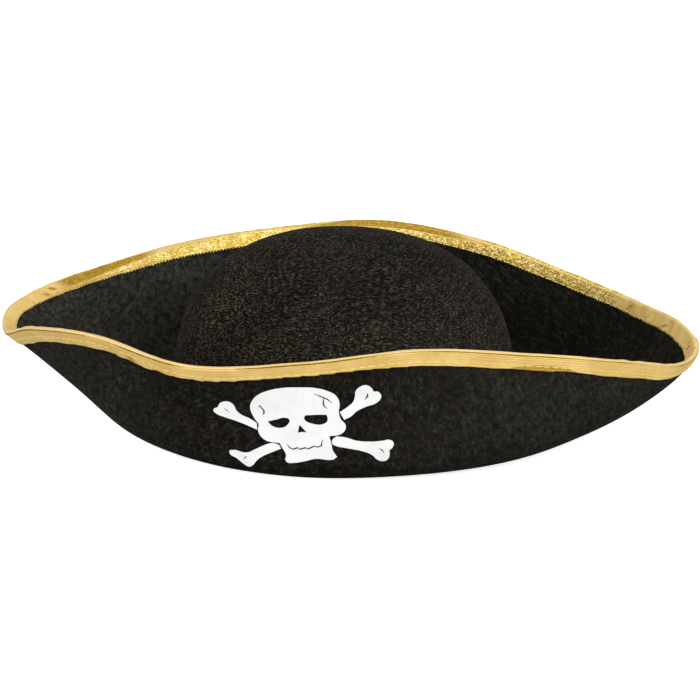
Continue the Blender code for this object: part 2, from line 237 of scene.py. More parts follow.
def plain_mesh(name, points, faces, material):
    mesh = bpy.data.meshes.new(name)
    mesh.from_pydata(points, [], faces)
    mesh.materials.append(material)
    mesh.shade_smooth()
    return mesh


def make_mesh(name, points, faces, values, material):
    """A shown piece from points and faces, with named vectors at its points."""
    mesh = plain_mesh(name, points.tolist(), faces, material)
    for key, value in values.items():
        attribute = mesh.attributes.new(key, "FLOAT_VECTOR", "POINT")
        attribute.data.foreach_set("vector", np.asarray(value, np.float32).ravel())
    shape = bmesh.new()
    shape.from_mesh(mesh)
    bmesh.ops.recalc_face_normals(shape, faces=shape.faces)
    if shape.calc_volume(signed=True) < 0:
        bmesh.ops.reverse_faces(shape, faces=shape.faces)
    shape.to_mesh(mesh)
    shape.free()
    return show(name, mesh)


def shell(name, middle, thickness, closed, values, material, pole=False):
    """A closed sheet of felt or cloth from the grid of points in its middle.

    It meets itself after a full turn if closed. With pole, its first row shrinks to a point. A value
    is one array, or a pair of arrays where the sheet's two faces differ.
    """
    index = np.arange(middle.shape[0] * middle.shape[1]).reshape(middle.shape[:2])
    total = index.size
    after = np.roll(index, -1, 0) if closed else index[1:]
    here = index if closed else index[:-1]
    quads = np.stack([here[:, :-1], after[:, :-1], after[:, 1:], here[:, 1:]], -1).reshape(-1, 4)
    faces = quads.tolist() + (quads[:, ::-1] + total).tolist()
    edges = [(here[:, -1], after[:, -1])]
    if not pole:
        edges.append((after[:, 0], here[:, 0]))
    if not closed:
        edges += [(index[0, :-1], index[0, 1:]), (index[-1, 1:], index[-1, :-1])]
    for start, end in edges:
        faces += np.stack([start, end, end + total, start + total], -1).tolist()
    half = grid_normals(middle, closed) * thickness / 2
    pairs = {key: value if isinstance(value, tuple) else (value, value) for key, value in values.items()}
    pairs["points"] = (middle + half, middle - half)
    joined = {key: [side.reshape(-1, 3) for side in pair] for key, pair in pairs.items()}
    if pole:
        for side in (0, 1):
            ring = index[:, 0] + side * total
            tip = np.full(len(ring), 2 * total + side)
            faces += np.stack([ring, np.roll(ring, -1), tip], -1).tolist()
        for key, pair in pairs.items():
            joined[key] += [side[:, 0].mean(0)[None] for side in pair]
    joined = {key: np.concatenate(arrays) for key, arrays in joined.items()}
    return make_mesh(name, joined.pop("points"), faces, joined, material)


def ring_quads(rings, sides, first):
    """Quads that join each ring of points to the next."""
    faces = []
    for ring in range(first, first + (rings - 1) * sides, sides):
        for side in range(sides):
            a = ring + side
            b = ring + (side + 1) % sides
            faces.append((a, b, b + sides, a + sides))
    return faces


# ---- Materials ----

class Value:
    """A number, vector or colour that nodes work out. Lengths are in mm in all materials."""

    def __init__(self, nodes, socket):
        self.nodes = nodes
        self.socket = socket

    def __add__(self, other):
        return self.nodes.math("ADD", self, other)

    def __mul__(self, other):
        return self.nodes.math("MULTIPLY", self, other)

    def wave(self, length):
        """Sine wave of that length, from -1 to 1."""
        return self.nodes.math("SINE", self * (TAU / length))

    def between(self, low, high, bottom=0.0, top=1.0):
        """This number brought smoothly from the range low to high into the range bottom to top."""
        inputs = {"Value": self, "From Min": low, "From Max": high, "To Min": bottom, "To Max": top}
        return self.nodes.value("MapRange", inputs, interpolation_type="SMOOTHSTEP")

    def mix(self, a, b):
        """Colour a where this number is 0, and colour b where it is 1."""
        return self.nodes.value("Mix", {0: self, 6: a, 7: b}, 2, data_type="RGBA")

    def parts(self):
        made = self.nodes.node("SeparateXYZ", {0: self})
        return [Value(self.nodes, socket) for socket in made.outputs]


class Nodes:
    """The nodes of a material or a world."""

    def __init__(self, owner):
        owner.use_nodes = True
        self.owner = owner
        self.tree = owner.node_tree

    def put(self, socket, value):
        """Set a node's input, or link it to what works it out. A colour is given without its alpha."""
        if isinstance(value, Value):
            self.tree.links.new(value.socket, socket)
        elif socket.type == "RGBA":
            socket.default_value = (*value, 1.0)
        else:
            socket.default_value = value

    def node(self, kind, inputs, **settings):
        made = self.tree.nodes.new("ShaderNode" + kind)
        for key, value in settings.items():
            setattr(made, key, value)
        for key, value in inputs.items():
            self.put(made.inputs[key], value)
        return made

    def value(self, kind, inputs, output=0, **settings):
        return Value(self, self.node(kind, inputs, **settings).outputs[output])

    def math(self, operation, a, b=0.0):
        return self.value("Math", {0: a, 1: b}, operation=operation)

    def vector(self, operation, a, b=(0.0, 0.0, 0.0)):
        return self.value("VectorMath", {0: a, 1: b}, operation=operation)

    def attribute(self, name):
        return self.value("Attribute", {}, "Vector", attribute_name=name)

    def noise(self, vector, size, detail=2.0, roughness=0.5):
        """Soft noise, about 0.5, whose bumps are of that size."""
        inputs = {"Vector": vector, "Scale": 1 / size, "Detail": detail, "Roughness": roughness}
        return self.value("TexNoise", inputs, "Fac")

    def cells(self, vector):
        """Each cell's own colour, and how far each place is from the middle of its cell."""
        made = self.node("TexVoronoi", {"Vector": vector, "Scale": 1.0})
        return Value(self, made.outputs["Color"]), Value(self, made.outputs["Distance"])

    def bump(self, height, depth, strength):
        """Normal bent by a height of 0 to 1 that stands for that depth."""
        inputs = {"Height": height, "Distance": depth * MM, "Strength": strength}
        return self.value("Bump", inputs)

    def finish(self, **inputs):
        """Set the material's surface, whose inputs have _ for each space here."""
        surface = self.tree.nodes["Principled BSDF"]
        for key, value in inputs.items():
            self.put(surface.inputs[key.replace("_", " ")], value)
        return self.owner


def new_material(name):
    return Nodes(bpy.data.materials.new(name))


MIDDLE = (0.5, 0.5, 0.5)
# Where in its cell a fibre starts to fade and where it has ended
FIBRE_CORE = 0.22
FIBRE_EDGE = 0.44
# Pale raised pile of the felt, laid on also as painted sheen and painted light on lit faces
PILE_AND_SHEEN_TINT = (0.052, 0.049, 0.042)


def fibre_layer(nodes, place, size, turn, bend):
    """Mask of separate short fibres that lie along one direction, and each one's own shade.

    place holds mm across the cloth. size is a fibre's room along each axis, turn the fibres' angle
    and bend how far they wander.
    """
    wander = nodes.value("TexNoise", {"Vector": place, "Scale": 0.06, "Detail": 1.0}, "Color")
    moved = nodes.vector("MULTIPLY", nodes.vector("SUBTRACT", wander, MIDDLE), (bend, bend, bend))
    moved = nodes.vector("ADD", place, moved)
    aligned = nodes.value("Mapping", {"Vector": moved, "Rotation": turn})
    tint, distance = nodes.cells(nodes.vector("MULTIPLY", aligned, [1 / length for length in size]))
    return distance.between(FIBRE_EDGE, FIBRE_CORE), tint.parts()[0]


def felt_material(name, dark, pale, layers, clump_size, mottle_size):
    """Needled felt: pale fibres over dark ones, in clumps, on an uneven ground.

    Each layer's last item says how strong it is in each place, and the attribute "brushed" how much
    of the felt's pale raised pile is laid on, which also paints sheen and light where lamps fall.
    """
    nodes = new_material(name)
    place = nodes.attribute("grain")
    clumps = nodes.noise(place, clump_size, 3.0, 0.6)
    mottle = nodes.noise(place, mottle_size, 2.0, 0.6).between(0.35, 0.65)
    ground = nodes.noise(place, 1.1, 3.0, 0.7) * mottle.between(0.0, 1.0, 0.55, 1.35)
    ground = ground.mix([c * 0.35 for c in dark], [c * 1.6 for c in dark])
    height = nodes.noise(place, 0.9)
    for size, turn, bend, strength, where in layers:
        mask, shade = fibre_layer(nodes, place, size, turn, bend)
        share = mask * shade.between(0.2, 0.95, 0.05, strength)
        share = share * clumps.between(0.3, 0.7, 0.55, 1.1) * mottle.between(0.0, 1.0, 0.5, 1.05)
        if where:
            share = share * where(place)
        ground = share.mix(ground, pale)
        height = nodes.math("MAXIMUM", height, mask * shade)
    tufts = nodes.noise(place, 3.2, 4.0, 0.7).between(0.35, 0.68, 0.1, 1.1)
    tufts = tufts * clumps.between(0.3, 0.7, 0.55, 1.0)
    # Pale raised pile, which is also painted sheen and painted light, where the attribute asks for it
    ground = (nodes.attribute("pile_and_sheen").parts()[0] * tufts).mix(ground, PILE_AND_SHEEN_TINT)
    return nodes.finish(
        Base_Color=ground, Roughness=0.95, Normal=nodes.bump(height, 0.25, 0.6),
        Specular_IOR_Level=0.02, Sheen_Weight=0.02, Sheen_Roughness=0.25, Sheen_Tint=(1.0, 0.88, 0.74))


def turned(degrees):
    """The same slant on a dome's front and on its sides."""
    return (math.radians(degrees), 0.0, math.radians(degrees))


def low_down(place):
    """1 low on the crown, where its fibres stand more upright, and 0 above."""
    return place.parts()[1].between(75.0, 120.0)


def towards_minus_x(place):
    """1 on the crown's -X side, where more fibres lie slantwise, and less on the other."""
    return place.parts()[0].between(0.0, -55.0, 0.35, 1.0)


def make_crown_felt():
    """On the crown most fibres run round it, in lines that wander up and down."""
    layers = [
        ((2.7, 0.75, 2.7), turned(7), 3.0, 0.8, None),
        ((2.2, 0.7, 2.2), turned(-14), 3.4, 0.9, None),
        ((3.2, 0.7, 3.2), turned(2), 4.0, 1.0, None),
        ((2.4, 0.75, 2.4), turned(40), 3.0, 0.35, towards_minus_x),
        ((0.75, 2.2, 0.75), turned(-14), 3.0, 0.9, low_down),
    ]
    dark = (0.0044, 0.0038, 0.0023)
    return felt_material("crown_felt", dark, (0.096, 0.086, 0.065), layers, 40, 2.2)


def make_brim_felt():
    """On the brim the fibres run slantwise across the cut sheet, finer and closer in shade."""
    layers = [
        ((6.5, 1.6, 1.6), (0, 0, math.radians(52)), 4.0, 0.7, None),
        ((4.5, 1.4, 1.4), (0, 0, math.radians(24)), 5.0, 0.7, None),
        ((3.5, 1.6, 1.6), (0, 0, math.radians(-38)), 4.0, 0.7, None),
        ((2.0, 1.3, 1.3), (0, 0, math.radians(80)), 3.0, 0.5, None),
    ]
    dark = (0.0082, 0.0071, 0.0053)
    return felt_material("brim_felt", dark, (0.037, 0.0335, 0.0275), layers, 22, 4.5)


# The woven cells of the ribbon's inner side along and across it, and its ribs' and weft's spacing
CELL_LENGTH = 0.85
CELL_WIDTH = 0.65
RIB = 1.3
WEFT = 0.42


def make_ribbon_cloth():
    """Metallic ribbon: satin ribs outside, glinting flat metal yarn inside.

    Its attribute holds mm along the ribbon, mm across it from the top of its fold (below 0 inside),
    and how it looks: 1 glinting, 0 satin, -1 satin with painted shade and dark reflection, -2 painted shade
    of a groove.
    """
    nodes = new_material("gold_ribbon")
    place = nodes.attribute("ribbon")
    along, across, look = place.parts()
    glint = look.between(0.0, 1.0)
    ribs = across.wave(RIB)
    satin = nodes.noise(place, 14, 3.0, 0.6).between(0.3, 0.7).mix((0.74, 0.49, 0.15), (0.86, 0.62, 0.23))
    # Painted shade in the troughs between the ribs, outside and over the fold
    rib_trough_shade = ribs.between(-1.0, 0.2, 0.5, 0.0) * across.between(-2.5, -1.5)
    satin = rib_trough_shade.mix(satin, (0.66, 0.41, 0.1))
    # Painted shade in slanting crinkles on the inner side
    slanted = nodes.value("CombineXYZ", {0: along + across * 0.5, 1: across * 0.15})
    crinkles = nodes.noise(slanted, 2.6).between(0.52, 0.7, 0.0, 0.5) * across.between(-1.5, -3.0)
    satin = crinkles.mix(satin, (0.62, 0.40, 0.09))
    # Painted highlight: paler, less golden satin along the top of the fold, where the light falls
    top = nodes.math("ABSOLUTE", across).between(1.8, 1.2, 0.0, 0.6)
    satin = top.mix(satin, (0.78, 0.58, 0.29))
    # Each cell is one pass of the metal yarn, with its own shade, tilted its own way
    yarn = nodes.value("CombineXYZ", {0: along * (1 / CELL_LENGTH), 1: across * (1 / CELL_WIDTH)})
    cell, _ = nodes.cells(yarn)
    red, green, blue = cell.parts()
    # Painted shade and dark reflection: satin darkened where its look is below 0, each cell by its own
    # amount
    shade = red.between(0.3, 0.9).mix((0.33, 0.19, 0.012), (0.54, 0.34, 0.035))
    satin = look.between(0.0, -1.0).mix(satin, shade)
    # Painted shade in the fold's groove
    satin = look.between(-1.0, -1.6).mix(satin, (0.15, 0.085, 0.006))
    patches = nodes.noise(place, 7, 3.0, 0.6)
    metal = red.between(0.2, 0.8).mix((0.57, 0.36, 0.035), (0.93, 0.68, 0.16))
    metal = patches.between(0.35, 0.65, 0.35, 0.0).mix(metal, (0.46, 0.28, 0.02))
    # Painted glints: single cells turned pale yellow, more in some patches
    painted_glints = green.between(0.62, 0.85) * patches.between(0.4, 0.6, 0.3, 1.0)
    metal = painted_glints.mix(metal, (1.0, 0.92, 0.56))
    tilt = {0: nodes.vector("SUBTRACT", cell, MIDDLE), "Scale": glint * 0.52}
    tilt = nodes.value("VectorMath", tilt, operation="SCALE")
    height = ribs * 0.25 + along.wave(WEFT) * 0.18 + nodes.noise(place, 0.5, 3.0, 0.7) * 0.5
    normal = nodes.vector("NORMALIZE", nodes.vector("ADD", nodes.bump(height, 0.12, 0.6), tilt))
    rough = blue.between(0.0, 1.0, 0.0, 0.15) + 0.3 + glint * 0.1
    return nodes.finish(
        Base_Color=glint.mix(satin, metal), Metallic=glint.between(0.0, 1.0, 0.25, 0.55),
        Roughness=rough, Normal=normal, Anisotropic=0.4, Specular_IOR_Level=0.35,
        Specular_Tint=(1.0, 0.8, 0.4))


def make_thread(name, low, high, roughness, metallic):
    """Twisted thread: slanted plies along each stitch."""
    nodes = new_material(name)
    along, around, _ = nodes.attribute("thread").parts()
    twist = nodes.math("SINE", along * (TAU / 0.6) + around)
    return nodes.finish(Base_Color=twist.between(-0.9, 0.5).mix(low, high), Roughness=roughness,
                        Metallic=metallic, Normal=nodes.bump(twist, 0.08, 0.7))


def make_film():
    """White film, smooth, with the felt's grain faintly pressed through it."""
    nodes = new_material("white_film")
    place = nodes.value("TexCoord", {}, "Object")
    place = nodes.vector("MULTIPLY", place, (1 / MM, 1 / MM, 1 / MM))
    worn = nodes.noise(place, 9, 3.0, 0.6)
    tint = worn.between(0.35, 0.75).mix((0.86, 0.86, 0.86), (0.79, 0.79, 0.785))
    return nodes.finish(Base_Color=tint, Roughness=worn.between(0.3, 0.8, 0.4, 0.6),
                        Normal=nodes.bump(nodes.noise(place, 1.6, 4.0, 0.65), 0.12, 0.35))


def make_band_cloth():
    """Black twill tape: slanted ribs over a fine weave."""
    nodes = new_material("band_fabric")
    place = nodes.attribute("cloth")
    along, across, _ = place.parts()
    slant = (along + across).wave(0.9)
    lint = nodes.noise(place, 1.5, 4.0, 0.7).between(0.62, 0.75, 0.0, 0.35)
    tint = slant.between(-0.8, 0.8).mix((0.008, 0.008, 0.009), (0.028, 0.028, 0.03))
    height = slant * 0.5 + across.wave(0.45) * 0.2
    return nodes.finish(Base_Color=lint.mix(tint, (0.09, 0.09, 0.09)), Roughness=0.75,
                        Sheen_Weight=0.08, Normal=nodes.bump(height, 0.15, 0.7))


def make_label_satin():
    """White satin tape: long fine floats and a slight crease."""
    nodes = new_material("label_satin")
    place = nodes.attribute("cloth")
    soft = nodes.noise(place, 5, 3.0, 0.6)
    tint = soft.between(0.3, 0.7).mix((0.80, 0.80, 0.77), (0.88, 0.88, 0.86))
    return nodes.finish(Base_Color=tint, Roughness=0.38, Anisotropic=0.5,
                        Normal=nodes.bump(place.parts()[1].wave(0.3) + soft, 0.05, 0.5))


# ---- Felt ----

CROWN_TURNS = 400
CROWN_ROWS = 74
# Where the crown's rows of points start, as a share of the way down from its top
CROWN_FIRST = 0.012
BRIM_TURNS = 640
WALL_ROWS = 46
RING_ROWS = 5
BEND_TURNS = 5
# Rows below the brim's rim where its unevenness fades out, so that the ribbon fits over it
STEADY_ROWS = 10


def crown_surface(angle, turn):
    """Points on the crown's outside, turn from a right angle at the top down to the base."""
    radius = np.cos(turn) ** (2 / CROWN_FULLNESS)
    z = CROWN_HEIGHT * np.sin(turn) ** (2 / CROWN_FULLNESS)
    x = CROWN_HALF_WIDTH * radius * np.cos(angle) - CROWN_LEAN * (z / CROWN_HEIGHT) ** 2
    return stack(x, CROWN_HALF_DEPTH * radius * np.sin(angle), z)


def make_crown(material):
    """Moulded dome of felt, with painted light: pale pile laid towards its lit +X side, and less at its
    top.
    """
    lowest = math.asin((CROWN_BASE / CROWN_HEIGHT) ** (CROWN_FULLNESS / 2))
    turn = math.pi / 2 + (lowest - math.pi / 2) * np.linspace(CROWN_FIRST, 1, CROWN_ROWS)
    outside = crown_surface(turns_round(CROWN_TURNS)[:, None], turn[None, :])
    x, z = outside[..., 0], outside[..., 2]
    outward = grid_normals(outside, True)
    outward = outward * np.sign(outward[0, -1, 0])
    lift = bumps(outside, (0.35, 45, 1), (0.12, 11, 2)) * ramp(z, CROWN_BASE, 12 * MM)
    middle = outside + outward * (lift - FELT / 2)[..., None]
    # Fibres follow lines round the dome: mm down from its top decides which line
    top = np.linalg.norm(outside[:, :1] - outside[:, :1].mean(0), axis=-1)
    down = top + lengths(outside) + bumps(outside, (5, 55, 3), (2.2, 20, 4))
    sway = bumps(outside, (1.5, 20, 5))
    grain = stack(x + sway, down, outside[..., 1] + sway) / MM
    # Painted light: pale pile on the crown's +X side, where the key light falls, fading out at its top
    crown_painted_light = 0.2 * np.clip(0.35 + x / CROWN_HALF_WIDTH, 0, 1) * ramp(CROWN_HEIGHT - z, 0, 22 * MM)
    values = {"grain": grain, "pile_and_sheen": stack(crown_painted_light, 0, 0)}
    return shell("felt_crown", middle, FELT, True, values, material, pole=True)


def brim_middle(angle):
    """Grid of points in the middle of the brim's felt, from the collar's top edge to the rim."""
    inset = FELT + COLLAR_GAP + FELT / 2
    rows = [base_oval(angle, inset) + stack(0, 0, z) for z in (COLLAR_HEIGHT, COLLAR_HEIGHT * 0.6)]
    for turn in np.linspace(0, math.pi / 2, BEND_TURNS):
        inner = base_oval(angle, inset - COLLAR_BEND * (1 - math.cos(turn)))
        rows.append(inner + stack(0, 0, FELT / 2 + COLLAR_BEND * (1 - math.sin(turn))))
    last = rows[-1]
    ring = wall_point(angle, 0)
    rows += [last + (ring - last) * i / RING_ROWS for i in range(1, RING_ROWS)]
    rows += [wall_point(angle, t) for t in np.linspace(0, 1, WALL_ROWS + 1)]
    return np.stack(rows, 1)


def sheet_place(angle, middle):
    """Where each point of the brim lay on the flat sheet it was cut from."""
    run = lengths(middle)
    run -= run[:, -1 - WALL_ROWS:][:, :1]
    outward = outward_from_crown(angle)
    foot = base_oval(angle) + outward * RING_WIDTH
    return foot[:, None] + outward[:, None] * run[..., None]


def pile_and_painted_sheen(angle):
    """How much pale raised pile the brim has outside and inside, which also paints sheen and light where
    lamps fall: most inside, towards the -X point.
    """
    # Outside: painted light either side of the front's darker middle; inside: painted sheen on the -X
    # side's inner face, which faces the key light
    outer = 0.4 * (window(angle, 195, 235, 25) + window(angle, 290, 350, 25))
    inner = window(angle, 118, 245, 25) + 0.14 * window(angle, 15, 65, 15)
    return stack(outer, 0, 0), stack(inner, 0, 0)


def make_brim(material):
    """Felt sheet cut to shape, sewn round the opening by its collar and turned up."""
    angle = turns_round(BRIM_TURNS)
    middle = brim_middle(angle)
    place = sheet_place(angle, middle)
    to_rim = ramp(np.arange(middle.shape[1])[::-1], 0, STEADY_ROWS)
    lift = bumps(middle, (0.4, 40, 11)) * ramp(middle[..., 2], 4 * MM, 18 * MM) * to_rim
    middle = middle + grid_normals(middle, True) * lift[..., None]
    wander = stack(bumps(place, (4, 60, 12)), bumps(place, (4, 60, 13)), 0)
    brim_pile_and_sheen = pile_and_painted_sheen(np.broadcast_to(angle[:, None], middle.shape[:2]))
    values = {"grain": (place + wander) / MM, "pile_and_sheen": brim_pile_and_sheen}
    brim = shell("felt_brim", middle, FELT, True, values, material)
    for vertex in brim.data.vertices:
        vertex.co.z = max(vertex.co.z, 0)
    return brim, place


# ---- Ribbon over the rim ----

RIBBON_STEPS = 900
RIBBON_OVERLAP = math.radians(3)
# Air between the felt and the ribbon, and between the ribbon's lapped ends
CLOTH_GAP = 0.25 * MM
FOLD_RADIUS = FELT / 2 + CLOTH_GAP + RIBBON / 2
# The fold's section, by degrees turned from the outer side over the top to the inner side: where
# its points are, and how far out the fold stands, with a groove and a bead over it
FOLD_TURNS = np.radians([4, 9, 13, 18, 23, 28, 33, 38, 46, 57, 71, 88, 106, 126, 152])
FOLD_SECTION = [(0, 1.0), (8, 1.03), (14, 0.96), (20, 0.87), (28, 0.88), (36, 1.0), (46, 1.08),
                (65, 1.09), (85, 1.08), (110, 1.05), (140, 1.02), (180, 1.0)]
GROOVE_TURN = math.radians(23)
GROOVE_WIDTH = math.radians(11)
# Degrees turned at which the groove really lies, by degrees round the hat: the ribbon sits askew
GROOVE_PLACE = [(0, 30), (180, 40), (205, 42), (245, 52), (270, 47), (300, 38), (316, 34),
                (345, 30), (360, 30)]
# For each side: the way it faces, the depth of its edge and of its stitches, its rows and its seed
OUTSIDE = (1, 6.5 * MM, 4.5 * MM, 22, 23)
INSIDE = (-1, 8.4 * MM, 6.4 * MM, 13, 25)
# How much deeper each edge lies by degrees round the hat, in mm: it was sewn on by eye
DEEPER_OUTSIDE = [(0, -1.4), (6, -0.4), (188, 0), (196, 1.6), (210, 2.7), (228, 1.9), (236, 2.2),
                  (239, 2.5), (239.6, 3.3), (243.6, 2.4), (245, 0.9), (247, 1.0), (248.5, 1.3),
                  (251, 0), (258, -0.9), (270, -1.4), (280, -0.7), (290, 0.3), (300, 0.2), (310, 0.3),
                  (311, -0.3), (316, -0.1), (320, 0.5), (335, 0.5), (346, -1.2), (360, -1.4)]
DEEPER_INSIDE = [(0, -0.8), (20, -0.9), (45, -1.8), (80, -2.1), (95, -0.9), (110, 0), (160, -0.3),
                 (176, -2.2), (196, -2.2), (215, 0), (340, 0), (360, -0.8)]
# Painted shade in short crease lines of the inner side: degrees round the hat, the depths in mm they
# run between, degrees they lean per mm, and how dark the painted shade is
CREASE_SHADES = [(24, 3, 8.2, 0.5, 0.8), (37, 1, 6.5, 0.3, 0.7), (155.7, 0.5, 4, -0.4, 1),
           (160.4, 1, 4.8, -0.4, 1), (163.3, 3, 7.5, -0.3, 0.9), (169.5, 4.5, 7, -0.3, 0.5)]
CREASE_WIDTH = 0.75
CREASE_FADE = 0.8
# Values of t down from the rim, close enough to measure depths along the wall
UPPER_WALL = np.linspace(1, 0.55, 60)


def wall_frame(angle, depth):
    """Points on the wall and its outer normals at depths below the rim: one depth, or a row per angle."""
    depth = depth * np.ones((len(angle), 1))
    table = lengths(wall_point(angle[:, None], UPPER_WALL))
    t = np.stack([np.interp(row_depth, row, UPPER_WALL) for row, row_depth in zip(table, depth)])
    nudge = 1e-3
    points = wall_point(angle[:, None], t)
    round_it = wall_point(angle[:, None] + nudge, t) - wall_point(angle[:, None] - nudge, t)
    up_it = points - wall_point(angle[:, None], t - nudge)
    return points, unit(np.cross(round_it, up_it))


def edge_depth(angle, along, facing, depth):
    """How far below the rim one edge of the ribbon lies. Outside, it is cut less evenly."""
    line = stack(along, 0, 0)
    depth = depth + bumps(line, (0.15, 6, 21), (0.1, 17, 22))
    depth = depth + MM * by_degrees(DEEPER_OUTSIDE if facing == 1 else DEEPER_INSIDE, angle)
    if facing == 1:
        notches = (along / (9.5 * MM) + 0.3 * uneven(line, 30 * MM, 24)) % 1
        depth = depth + 0.45 * MM * notches * window(angle, 232, 290, 8)
    return depth


def side_offset(angle, depth, along, facing, stitch_depth, seed):
    """How far the ribbon stands from its plain surface, at a depth below the rim."""
    angle, along = angle[:, None], along[:, None]
    grid = stack(along, depth, 0)
    loose = ramp(depth, stitch_depth, 2.5 * MM)
    offset = bumps(grid, (0.08, 9, seed)) + 0.12 * MM * loose * (1 + uneven(grid, 5 * MM, seed + 1))
    offset = offset - 0.13 * MM * bell(depth, stitch_depth, 0.6 * MM)
    if facing == 1:
        ribs = 0.08 * MM * np.cos(depth / (RIB * MM) * TAU) * ramp(depth, 0, 1.5 * MM)
        puckers = bumps(stack(along, depth * 0.4, 0), (0.22, 4, 28))
        return offset + ribs + window(angle, 234, 250, 5) * puckers
    crinkles = bumps(stack(along + depth * 0.35, depth * 0.12, 0), (0.2, 4.5, 27))
    near_points = ramp(np.abs(np.cos(angle)), 0.64, 0.16)
    return offset + near_points * crinkles


def crease_shade(degrees, depth):
    """How dark the painted shade in the short crease lines of the inner side is."""
    dark = np.zeros_like(depth)
    for place, top, bottom, lean, strength in CREASE_SHADES:
        off = degrees - place - lean * (depth - (top + bottom) / 2)
        ends = ramp(depth, top, CREASE_FADE) * ramp(bottom - depth, 0, CREASE_FADE)
        dark = np.maximum(dark, strength * ends * bell(off, 0, CREASE_WIDTH))
    return dark


def ribbon_looks(angle, depth, facing):
    """Where the ribbon's metal yarn glints, where it is satin, and where painted shade and dark reflection
    darken it.
    """
    degrees = np.degrees(angle) % 360
    if facing == 1:
        arch = 3.4 * MM + 2.8 * MM * ((degrees - 309) / 6.5) ** 2
        turned_out = window(angle, 301, 317, 1) * ramp(depth, arch, 0.4 * MM)
        # Painted shade in the small hollow of a pucker on the outer side
        hollow_shade = window(angle, 239.2, 240.4, 0.8) * ramp(depth, 4.6 * MM, 0.5 * MM)
        return -0.75 * turned_out - hollow_shade
    glinting = window(angle, 40, 146, 8) * (1 - 0.2 * window(angle, 34, 62, 6))
    smooth = window(angle, 74, 104, 8)
    start = 0.3 * MM + 4.8 * MM * ramp(degrees, 120, 31) + 2 * MM * smooth
    low = ramp(depth, start, 0.6 * MM)
    # Painted shade and dark reflection on the inner side: towards the -X point at the back, and on the
    # upper part at the back's middle
    painted_shade = (window(angle, 134, 157, 6) + 0.9 * smooth) * (1 - low)
    painted_shade = painted_shade + 0.5 * window(angle, 142, 164, 8) * low
    return glinting * low - np.maximum(painted_shade, crease_shade(degrees, depth / MM))


def fold_looks(angle, along, turn):
    """The same on the fold: painted shade in its groove, glinting down part of its inner half, and painted
    shade and dark reflection on that half at the back's middle.
    """
    # Painted shade in the groove, strong in most places and fainter in some
    broken = np.clip(0.8 + 0.45 * uneven(stack(along, 0, 0), 25 * MM, 26), 0.25, 1)[:, None]
    groove = np.clip(1.35 * bell(turn, GROOVE_TURN, GROOVE_WIDTH), 0, 1) * broken
    # On the fold's inner half: glinting, with painted shade and dark reflection at the back's middle
    glinting = window(angle, 40, 72, 6) + window(angle, 100, 116, 6) - 0.9 * window(angle, 76, 100, 6)
    return glinting * (turn > math.radians(85)) - 2 * groove


def ribbon_grid(angle, along):
    """Middle of the ribbon from its outer edge up, over the rim and down, its place and its looks."""
    sides = []
    for facing, edge, stitch_depth, rows, seed in (OUTSIDE, INSIDE):
        depth = np.linspace(1, 0, rows) * edge_depth(angle, along, facing, edge)[:, None]
        points, normals = wall_frame(angle, depth)
        away = FOLD_RADIUS + side_offset(angle, depth, along, facing, stitch_depth, seed)
        across = facing * (depth + FOLD_RADIUS * math.pi / 2)
        look = ribbon_looks(angle[:, None], depth, facing)
        sides.append((points + normals * facing * away[..., None], across, look))
    outer, inner = sides
    rim, normal = wall_frame(angle, 0)
    below, _ = wall_frame(angle, 2 * MM)
    turn = FOLD_TURNS[:, None]
    start, end = [np.linalg.norm(side[0][:, -1:] - rim, axis=-1, keepdims=True) for side in sides]
    places, swells = zip(*FOLD_SECTION)
    radius = (start + (end - start) * turn / math.pi) * np.interp(turn, np.radians(places), swells)
    groove = np.radians(by_degrees(GROOVE_PLACE, angle))[:, None, None]
    askew = np.where(turn < GROOVE_TURN, turn * groove / GROOVE_TURN,
                     math.pi - (math.pi - turn) * (math.pi - groove) / (math.pi - GROOVE_TURN))
    fold = rim + (normal * np.cos(askew) + unit(rim - below) * np.sin(askew)) * radius
    across = (math.pi / 2 - FOLD_TURNS) * FOLD_RADIUS + 0 * angle[:, None]
    over = (fold, across, fold_looks(angle[:, None], along, FOLD_TURNS))
    return [np.concatenate([a, b, c[:, ::-1]], 1) for a, b, c in zip(outer, over, inner)]


def make_ribbon(material):
    """The ribbon, lapped over its own start, and the loops of yarn along its inner edge."""
    angle = RIBBON_JOIN + np.linspace(0, TAU + RIBBON_OVERLAP, RIBBON_STEPS)
    along = lengths(rim_point(angle))
    middle, across, look = ribbon_grid(angle, along)
    lap = 0.8 * RIBBON_OVERLAP
    lapped = ramp(angle, RIBBON_JOIN + TAU - lap, lap)
    normals = grid_normals(middle, False)
    out = np.sign((middle[0, 0] - rim_point(angle[:1])[0]) @ normals[0, 0])
    middle = middle + normals * out * (lapped * (RIBBON + CLOTH_GAP))[:, None, None]
    place = stack(along[:, None] / MM, across / MM, look)
    ribbon = shell("ribbon_trim", middle, RIBBON, False, {"ribbon": place}, material)
    once = angle < RIBBON_JOIN + TAU
    loops = edge_loops(middle[once, -1], middle[once, -2], along[once], material)
    return ribbon, loops, along[-1]


LOOP_PITCH = 2.0 * MM
LOOP_RADIUS = 0.55 * MM
LOOP_FLATNESS = 0.7
LOOP_SIDES = 6
LOOP_RINGS = 3


